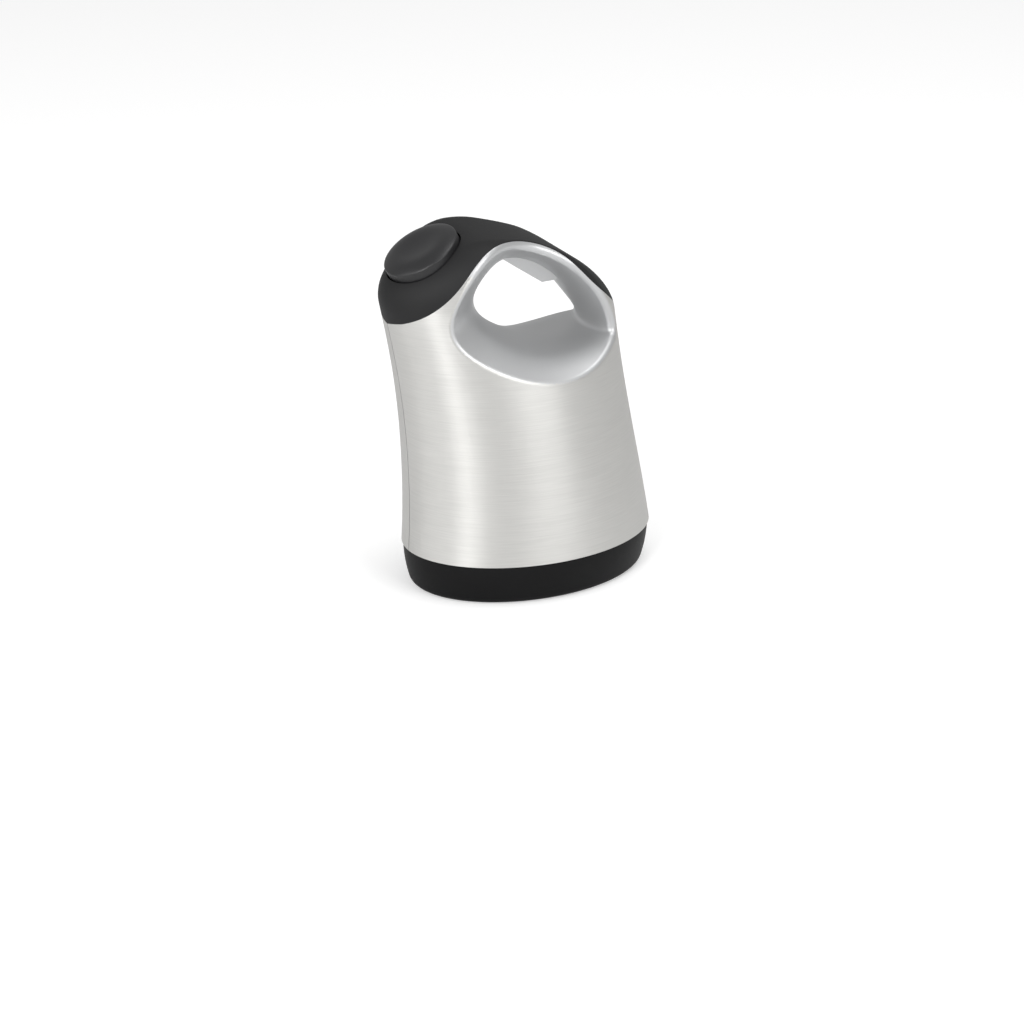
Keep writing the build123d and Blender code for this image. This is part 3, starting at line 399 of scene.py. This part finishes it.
def repeat(pattern: bpy.types.Object, place: Point) -> bpy.types.Object:
    """Copy a pattern to one of its places.

    Args:
        pattern: Finished piece, modelled around the origin.
        place: Where the copy goes.

    Returns:
        The copy, with a mesh of its own.
    """
    piece = pattern.copy()
    piece.data = pattern.data.copy()
    piece.location = place
    bpy.context.scene.collection.objects.link(piece)
    return piece


def discard(pattern: bpy.types.Object) -> None:
    """Remove a pattern, once its copies are made, together with its mesh."""
    bpy.data.meshes.remove(pattern.data)


@dataclass
class Assembly:
    """Base of the sub-assemblies: names its nodes and dresses the pieces that show them."""

    materials: dict[str, bpy.types.Material]
    nodes: tuple[str, ...] = ()
    smooth_angle: float = 32.0
    pieces: dict[str, bpy.types.Object] = field(default_factory=dict)

    def slot_of(self, node: str) -> str:
        """Material slot that the record gives a node."""
        parts = frame["record"]["subparts"]
        return next(part["material_slot"] for part in parts if part["node"] == node)

    def body_of(self, node: str) -> str:
        """Body that carries a node."""
        bodies = frame["record"]["behaviour"]["bodies"]
        return next(body for body, members in bodies.items() if node in members)

    def build(self) -> None:
        """Take the nodes as the pieces to dress."""
        for node in self.nodes:
            self.pieces[node] = frame["nodes"][node]

    def skin(self, node: str) -> bpy.types.Object:
        """Stand a copy in for a node, so that its mesh can be changed.

        Args:
            node: Name of the node.

        Returns:
            The copy, riding on the node's body.
        """
        piece = bpy.data.objects.new(node + "_skin", frame["nodes"][node].data.copy())
        bpy.context.scene.collection.objects.link(piece)
        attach(piece, self.body_of(node))
        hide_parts(node)
        return piece

    def dress(self) -> None:
        """Give each piece its material."""
        for node, piece in self.pieces.items():
            coat(piece, self.materials[self.slot_of(node)])
        log.info("%s: %s", type(self).__name__, ", ".join(self.pieces))

    def settle(self, piece: bpy.types.Object, name: str, body: str, slot: str) -> None:
        """Bring a new piece to the origin, name it, and let it ride and wear its slot.

        Args:
            piece: New object, in object mode.
            name: Its name.
            body: Body that carries it.
            slot: Material slot it wears.
        """
        make_active(piece)
        bpy.ops.object.transform_apply(location=True, rotation=True, scale=True)
        bpy.ops.object.shade_smooth_by_angle(angle=math.radians(self.smooth_angle))
        piece.name = name
        coat(piece, self.materials[slot])
        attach(piece, body)
        log.info("added %s", name)


@dataclass
class Column:
    """Oval wall of the housing, used to tell the brushed wall from the finger hole's dish."""

    seam_height: float = 0.014
    seam_half_length: float = 0.043
    seam_half_depth: float = 0.031
    head_height: float = 0.102
    crown_height: float = 0.120
    lean: float = 0.0118
    lean_power: float = 1.3
    waist: float = 0.0043
    waist_turn: float = math.radians(135.0)
    taper: float = 0.0095
    taper_power: float = 1.8
    depth_limit: float = 0.0005
    angle_limit: float = math.radians(14.0)
    steep_limit: float = 0.9

    def is_wall(self, centre: Vector, normal: Vector) -> bool:
        """Tell whether a face lies on the oval wall.

        Args:
            centre: Middle of the face.
            normal: Its normal.

        Returns:
            True on the wall, False in the dish, on an edge or inside.
        """
        rise = max(centre.z - self.seam_height, 0.0)
        share = rise / (self.head_height - self.seam_height)
        length = self.seam_half_length - self.waist * math.sin(min(share, 1.0) * self.waist_turn)
        height_share = rise / (self.crown_height - self.seam_height)
        depth = self.seam_half_depth - self.taper * height_share ** self.taper_power
        across = (centre.x + self.lean * share ** self.lean_power) / length
        along = centre.y / depth
        level_normal = Vector((normal.x, normal.y, 0.0))
        if level_normal.length < self.steep_limit:
            return False
        if (1.0 - math.hypot(across, along)) * depth > self.depth_limit:
            return False
        return level_normal.angle(Vector((across / length, along / depth, 0.0))) < self.angle_limit


@dataclass
class Housing(Assembly):
    """Silver shells, black cap, battery door and their screws."""

    nodes: tuple[str, ...] = (
        "front_shell", "rear_shell", "battery_door", "top_cap", "finger_rest", "housing_screws")
    brushed: tuple[str, ...] = ("front_shell", "rear_shell", "battery_door")
    ridge_count: int = 3
    ridge_pitch: float = 0.0024
    ridge_size: Point = (0.0062, 0.0010, 0.0010)
    ridge_edge: float = 0.0003
    ridge_rounds: int = 3
    scoop_drop: float = 0.0092

    def build(self) -> None:
        """Stand skins in for the brushed nodes and add the door's ridges."""
        super().build()
        for node in self.brushed:
            self.pieces[node] = self.skin(node)
        self.build_ridges()

    def dress(self) -> None:
        """Dress the pieces, then smooth what lies off the brushed wall."""
        super().dress()
        for node in self.brushed:
            self.smooth_dish(self.pieces[node])

    def smooth_dish(self, piece: bpy.types.Object) -> None:
        """Give the dish's finish to the faces that don't lie on the oval wall.

        Args:
            piece: Skin of a shell or of the door.
        """
        column = Column()
        mesh = piece.data
        mesh.materials.append(self.materials["silver_dish"])
        # The wall's material comes first in the mesh's list and the dish's second.
        finishes = [0 if column.is_wall(face.center, face.normal) else 1 for face in mesh.polygons]
        mesh.polygons.foreach_set("material_index", finishes)

    def build_ridges(self) -> None:
        """Add grip ridges across the thumb scoop of the battery door."""
        low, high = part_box("battery_door")
        middle = (low.x + high.x) / 2
        pattern = self.ridge_pattern()
        bpy.context.view_layer.update()
        for number in range(self.ridge_count):
            z = high.z - self.scoop_drop + (number - (self.ridge_count - 1) / 2) * self.ridge_pitch
            outside = (middle, 2 * high.y, z)
            _, place, _, _ = self.pieces["battery_door"].ray_cast(outside, (0.0, -1.0, 0.0))
            ridge = repeat(pattern, (middle, place.y, z))
            # The ridges wear the finger rest's silver, which is darkened as painted shade.
            self.settle(ridge, f"door_ridge_{number}", "battery_door", "silver_smooth")
        discard(pattern)

    def ridge_pattern(self) -> bpy.types.Object:
        """Model one ridge from a cube.

        Returns:
            Bar with rounded edges around the origin, in object mode.
        """
        start_clean()
        bpy.ops.mesh.primitive_cube_add(size=1.0)
        ridge = bpy.context.object
        bpy.ops.object.mode_set(mode="EDIT")
        bpy.ops.mesh.select_all(action="SELECT")
        bpy.ops.transform.resize(value=self.ridge_size, center_override=(0.0, 0.0, 0.0))
        bpy.ops.mesh.bevel(
            offset=self.ridge_edge, offset_type="OFFSET", segments=self.ridge_rounds, affect="EDGES")
        bpy.ops.object.mode_set(mode="OBJECT")
        return ridge


@dataclass
class StartSwitch(Assembly):
    """Start button and the switch under it."""

    nodes: tuple[str, ...] = (
        "start_button", "switch_plunger", "switch_body", "switch_board", "board_screws", "button_spring")
    tilt: float = math.radians(29.0)
    coil_foot: Point = (-0.03356, 0.0, 0.10782)
    coil_length: float = 0.0068
    travel: float = 0.0012

    def build(self) -> None:
        """Stand a skin in for the coil."""
        super().build()
        self.pieces["button_spring"] = self.skin("button_spring")

    def dress(self) -> None:
        """Dress the pieces, then give the coil a mesh of its own."""
        super().dress()
        coil = self.pieces["button_spring"]
        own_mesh(coil)


@dataclass
class Base(Assembly):
    """Black base with the guides and magnet in its mouth."""

    nodes: tuple[str, ...] = ("base_housing", "base_screws", "rim_guides", "lid_magnet", "magnet_cup")


@dataclass
class GearTrain(Assembly):
    """Motor, gears, shafts and their plate."""

    nodes: tuple[str, ...] = (
        "gear_plate", "plate_screws", "gear_arbors", "first_gear", "second_gear", "drive_gear",
        "drive_shaft", "lower_bush", "upper_bush", "drive_wheel", "drive_nut", "motor_case",
        "motor_screws", "motor_shaft", "motor_pinion")


@dataclass
class Cutter(Assembly):
    """Cutter wheel on its swinging arm."""

    nodes: tuple[str, ...] = ("cutter_arm", "arm_shaft", "friction_disc", "cutter_axle", "cutter_wheel")


@dataclass
class PowerPack(Assembly):
    """Battery tray with its cells and contacts."""

    nodes: tuple[str, ...] = ("battery_tray", "battery_cells", "contact_strips", "contact_springs")
    cell_count: int = 4
    cell_radius: float = 0.0071
    band_thickness: float = 0.00012
    band_height: float = 0.0070
    band_drop: float = 0.0045
    band_edge: float = 0.00004
    band_rounds: int = 2
    band_sides: int = 64

    def build(self) -> None:
        """Put a band round one end of each cell, on every other cell at the top."""
        super().build()
        low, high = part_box("battery_cells")
        pitch = (high.x - low.x - 2 * self.cell_radius) / (self.cell_count - 1)
        middle = (low.y + high.y) / 2
        drop = self.band_drop + self.band_height / 2
        pattern = self.band_pattern()
        for cell in range(self.cell_count):
            z = high.z - drop if cell % 2 == 0 else low.z + drop
            band = repeat(pattern, (low.x + self.cell_radius + cell * pitch, middle, z))
            self.settle(band, f"cell_band_{cell}", "housing", "gear_white")
        discard(pattern)

    def band_pattern(self) -> bpy.types.Object:
        """Model one thin band from an open cylinder.

        Returns:
            Band around the origin, in object mode.
        """
        start_clean()
        bpy.ops.mesh.primitive_cylinder_add(
            vertices=self.band_sides, radius=self.cell_radius, depth=self.band_height,
            end_fill_type="NOTHING")
        band = bpy.context.object
        wall = band.modifiers.new("wall", "SOLIDIFY")
        wall.thickness = self.band_thickness
        # The wall grows outwards from the cell.
        wall.offset = 1.0
        bpy.ops.object.modifier_apply(modifier=wall.name)
        edge = band.modifiers.new("edge", "BEVEL")
        edge.width = self.band_edge
        edge.segments = self.band_rounds
        bpy.ops.object.modifier_apply(modifier=edge.name)
        return band


@dataclass(frozen=True)
class Lamp:
    """One soft rectangular lamp."""

    name: str
    place: Point
    size: tuple[float, float]
    power: float

    def hang(self, aim: Point) -> None:
        """Hang the lamp at its place.

        Args:
            aim: Point that it faces.
        """
        data = bpy.data.lights.new(self.name, "AREA")
        data.shape = "RECTANGLE"
        data.size, data.size_y = self.size
        data.energy = self.power
        lamp = bpy.data.objects.new(self.name, data)
        lamp.location = self.place
        facing = Vector(aim) - Vector(self.place)
        lamp.rotation_euler = facing.to_track_quat("-Z", "Y").to_euler()
        bpy.context.scene.collection.objects.link(lamp)


@dataclass
class Studio:
    """Pale floor, soft lamps and the camera of the view."""

    camera_place: Point = (-0.4678, -0.8800, 0.4466)
    camera_right: Point = (0.8855, -0.4646, 0.0018)
    camera_up: Point = (0.1817, 0.3499, 0.9190)
    camera_back: Point = (-0.4276, -0.8135, 0.3943)
    lens: float = 116.05
    sensor: float = 36.0
    floor_half: float = 3.0
    floor_grey: float = 0.80
    floor_roughness: float = 0.7
    floor_glow: float = 0.35
    world_level: float = 0.44
    aim: Point = (0.0, 0.0, 0.06)
    lamps: tuple[Lamp, ...] = (
        Lamp("strip", (-0.93, -0.75, 0.62), (0.40, 0.95), 8.0),
        Lamp("broad", (0.36, -1.20, 0.66), (0.75, 0.80), 6.5),
        Lamp("top", (0.25, -0.15, 1.25), (0.80, 0.80), 5.0),
        Lamp("side", (-1.10, 0.05, 0.50), (0.90, 0.80), 3.2),
    )

    def build(self) -> None:
        """Make the floor, world, lamps and camera."""
        self.build_floor()
        self.build_world()
        for lamp in self.lamps:
            lamp.hang(self.aim)
        self.build_camera()
        log.info("studio")

    def build_floor(self) -> None:
        """Lay the floor, which looks white to the camera."""
        start_clean()
        bpy.ops.mesh.primitive_plane_add(size=2 * self.floor_half)
        floor = bpy.context.object
        floor.name = "floor"
        sheet = Sheet("pale_floor")
        output = sheet.add("ShaderNodeOutputMaterial")
        shader = sheet.add("ShaderNodeBsdfPrincipled")
        grey = (self.floor_grey, self.floor_grey, self.floor_grey, 1.0)
        shader.inputs["Base Color"].default_value = grey
        shader.inputs["Roughness"].default_value = self.floor_roughness
        shader.inputs["Emission Color"].default_value = WHITE
        seen = sheet.add("ShaderNodeLightPath").outputs["Is Camera Ray"]
        sheet.join(sheet.share(seen, self.floor_glow), shader.inputs["Emission Strength"])
        sheet.join(shader.outputs["BSDF"], output.inputs["Surface"])
        coat(floor, sheet.material)

    def build_world(self) -> None:
        """Light the scene evenly from all around."""
        world = bpy.data.worlds.new("studio")
        bpy.context.scene.world = world
        world.use_nodes = True
        back = world.node_tree.nodes["Background"]
        back.inputs["Color"].default_value = WHITE
        back.inputs["Strength"].default_value = self.world_level

    def build_camera(self) -> None:
        """Place the camera and set how colours are shown."""
        data = bpy.data.cameras.new("view")
        data.lens = self.lens
        data.sensor_width = self.sensor
        camera = bpy.data.objects.new("view", data)
        turn = Matrix((self.camera_right, self.camera_up, self.camera_back)).transposed()
        camera.matrix_world = Matrix.Translation(self.camera_place) @ turn.to_4x4()
        bpy.context.scene.collection.objects.link(camera)
        bpy.context.scene.camera = camera
        bpy.context.scene.view_settings.view_transform = "Standard"


def main() -> None:
    """Build and dress every sub-assembly in order, then the studio."""
    logging.basicConfig(level=logging.INFO)
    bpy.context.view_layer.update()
    materials = Palette().materials()
    for kind in (Housing, StartSwitch, Base, GearTrain, Cutter, PowerPack):
        assembly = kind(materials)
        assembly.build()
        assembly.dress()
    Studio().build()


if __name__ == "__main__":
    main()
